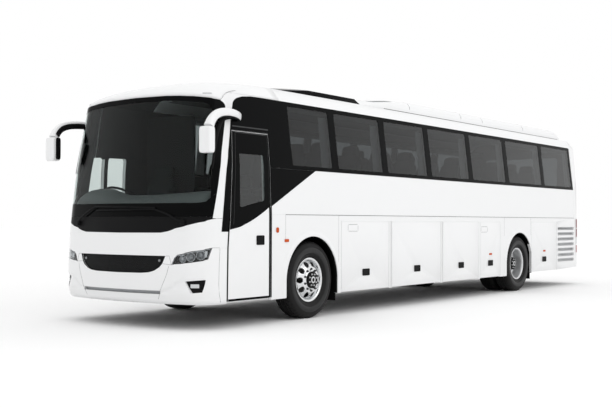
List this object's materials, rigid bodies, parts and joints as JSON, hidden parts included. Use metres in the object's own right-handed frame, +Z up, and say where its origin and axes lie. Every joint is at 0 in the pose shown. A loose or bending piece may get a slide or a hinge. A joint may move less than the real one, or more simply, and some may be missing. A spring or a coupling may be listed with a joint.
{
  "type": "coach bus",
  "caption": "Full-size touring coach with a wrap-around windscreen, tinted side windows, lifting luggage flaps, a swing-out front door and steerable front wheels.",
  "frame": {"origin": "on the ground under the middle of the coach's box", "axes": "+X forward, +Y to the coach's left, +Z up"},
  "size_m": [12.0499, 2.95, 3.294],
  "materials": {
    "body_white": "gloss white paint",
    "gloss_black": "gloss black",
    "black_plastic": "satin black plastic",
    "glass": "tinted glass",
    "lamp_clear": "clear lamp",
    "lamp_red": "red lamp lens",
    "lamp_amber": "amber lamp lens",
    "chassis": "black chassis paint",
    "floor": "grey floor",
    "interior": "grey interior trim",
    "seat_cloth": "dark grey cloth",
    "curtain_cloth": "pale grey curtain",
    "tyre": "black rubber",
    "rim_alloy": "bright alloy",
    "rim_steel": "silver paint",
    "rubber": "black rubber"
  },
  "bodies": {
    "coach": {"chassis_frame": "chassis", "floor_structure": "floor", "bulkheads": "floor", "entrance_floor": "floor", "front_mask": "body_white", "front_bumper": "body_white", "grille": "black_plastic", "front_lamps": "lamp_clear", "wiper_cowl": "gloss_black", "windscreen": "glass", "wipers": "black_plastic", "roof": "body_white", "roof_dome": "body_white", "side_wall_left": "body_white", "side_wall_right": "body_white", "skirt_panels": "body_white", "side_windows": "glass", "rear_panel": "body_white", "rear_window": "glass", "tail_lamps": "lamp_red", "marker_lamps": "lamp_amber", "wheel_housings": "rubber", "mirror_arms": "body_white", "mirror_heads": "body_white", "ac_unit": "body_white", "roof_hatch": "gloss_black", "dashboard": "black_plastic", "steering_wheel": "black_plastic", "driver_seat": "seat_cloth", "passenger_seats": "seat_cloth", "parcel_racks": "interior", "curtains": "curtain_cloth", "front_axle": "chassis", "rear_axle": "chassis", "engine": "chassis"},
    "steering_left": {"knuckle_left": "chassis"},
    "steering_right": {"knuckle_right": "chassis"},
    "wheel_front_left": {"tyre_front_left": "tyre", "rim_front_left": "rim_alloy"},
    "wheel_front_right": {"tyre_front_right": "tyre", "rim_front_right": "rim_alloy"},
    "wheel_rear_left": {"tyre_rear_left": "tyre", "rim_rear_left": "rim_steel"},
    "wheel_rear_right": {"tyre_rear_right": "tyre", "rim_rear_right": "rim_steel"},
    "door_arm": {"door_arms": "chassis"},
    "door": {"door_leaf": "body_white", "door_glass": "glass"},
    "flap_left_1": {"flap_left_1": "body_white"},
    "flap_left_2": {"flap_left_2": "body_white"},
    "flap_left_3": {"flap_left_3": "body_white"},
    "flap_left_4": {"flap_left_4": "body_white"},
    "flap_left_5": {"flap_left_5": "body_white"},
    "flap_right_1": {"flap_right_1": "body_white"},
    "flap_right_2": {"flap_right_2": "body_white"},
    "flap_right_3": {"flap_right_3": "body_white"},
    "flap_right_4": {"flap_right_4": "body_white"},
    "flap_right_5": {"flap_right_5": "body_white"},
    "engine_door": {"engine_door": "body_white"}
  },
  "joints": [
    {"name": "steer_left", "type": "hinge", "parent": "coach", "child": "steering_left", "pos_m": [3.695, 0.99, 0.522], "axis": [0, 0, 1], "range_deg": [-40, 40]},
    {"name": "spin_front_left", "type": "hinge", "parent": "steering_left", "child": "wheel_front_left", "pos_m": [3.695, 1.13, 0.522], "axis": [0, 1, 0], "continuous": true},
    {"name": "spin_rear_left", "type": "hinge", "parent": "coach", "child": "wheel_rear_left", "pos_m": [-3.005, 0.96, 0.522], "axis": [0, 1, 0], "continuous": true},
    {"name": "steer_right", "type": "hinge", "parent": "coach", "child": "steering_right", "pos_m": [3.695, -0.99, 0.522], "axis": [0, 0, 1], "range_deg": [-40, 40]},
    {"name": "spin_front_right", "type": "hinge", "parent": "steering_right", "child": "wheel_front_right", "pos_m": [3.695, -1.13, 0.522], "axis": [0, 1, 0], "continuous": true},
    {"name": "spin_rear_right", "type": "hinge", "parent": "coach", "child": "wheel_rear_right", "pos_m": [-3.005, -0.96, 0.522], "axis": [0, 1, 0], "continuous": true},
    {"name": "door_swing", "type": "hinge", "parent": "coach", "child": "door_arm", "pos_m": [5.255, 1.15, 1], "axis": [0, 0, -1], "range_deg": [0, 118]},
    {"name": "door_parallel", "type": "hinge", "parent": "door_arm", "child": "door", "pos_m": [4.805, 1.15, 1], "axis": [0, 0, -1], "range_deg": [-118, 0]},
    {"name": "flap_left_1_lift", "type": "hinge", "parent": "coach", "child": "flap_left_1", "pos_m": [2.36987, 1.296, 1.314], "axis": [1, 0, 0], "range_deg": [0, 90]},
    {"name": "flap_left_2_lift", "type": "hinge", "parent": "coach", "child": "flap_left_2", "pos_m": [0.87708, 1.296, 1.314], "axis": [1, 0, 0], "range_deg": [0, 90]},
    {"name": "flap_left_3_lift", "type": "hinge", "parent": "coach", "child": "flap_left_3", "pos_m": [-0.6182, 1.296, 1.314], "axis": [1, 0, 0], "range_deg": [0, 90]},
    {"name": "flap_left_4_lift", "type": "hinge", "parent": "coach", "child": "flap_left_4", "pos_m": [-1.75192, 1.296, 1.314], "axis": [1, 0, 0], "range_deg": [0, 90]},
    {"name": "flap_left_5_lift", "type": "hinge", "parent": "coach", "child": "flap_left_5", "pos_m": [-4.1885, 1.296, 1.314], "axis": [1, 0, 0], "range_deg": [0, 90]},
    {"name": "flap_right_1_lift", "type": "hinge", "parent": "coach", "child": "flap_right_1", "pos_m": [2.36987, -1.296, 1.314], "axis": [-1, 0, 0], "range_deg": [0, 90]},
    {"name": "flap_right_2_lift", "type": "hinge", "parent": "coach", "child": "flap_right_2", "pos_m": [0.87708, -1.296, 1.314], "axis": [-1, 0, 0], "range_deg": [0, 90]},
    {"name": "flap_right_3_lift", "type": "hinge", "parent": "coach", "child": "flap_right_3", "pos_m": [-0.6182, -1.296, 1.314], "axis": [-1, 0, 0], "range_deg": [0, 90]},
    {"name": "flap_right_4_lift", "type": "hinge", "parent": "coach", "child": "flap_right_4", "pos_m": [-1.75192, -1.296, 1.314], "axis": [-1, 0, 0], "range_deg": [0, 90]},
    {"name": "flap_right_5_lift", "type": "hinge", "parent": "coach", "child": "flap_right_5", "pos_m": [-4.1885, -1.296, 1.314], "axis": [-1, 0, 0], "range_deg": [0, 90]},
    {"name": "engine_door_lift", "type": "hinge", "parent": "coach", "child": "engine_door", "pos_m": [-6.019, 0, 1.2837], "axis": [0, 1, 0], "range_deg": [0, 80]}
  ],
  "couplings": [
    {"joint": "steer_right", "follows": "steer_left", "ratio": 1},
    {"joint": "door_parallel", "follows": "door_swing", "ratio": -1}
  ]
}
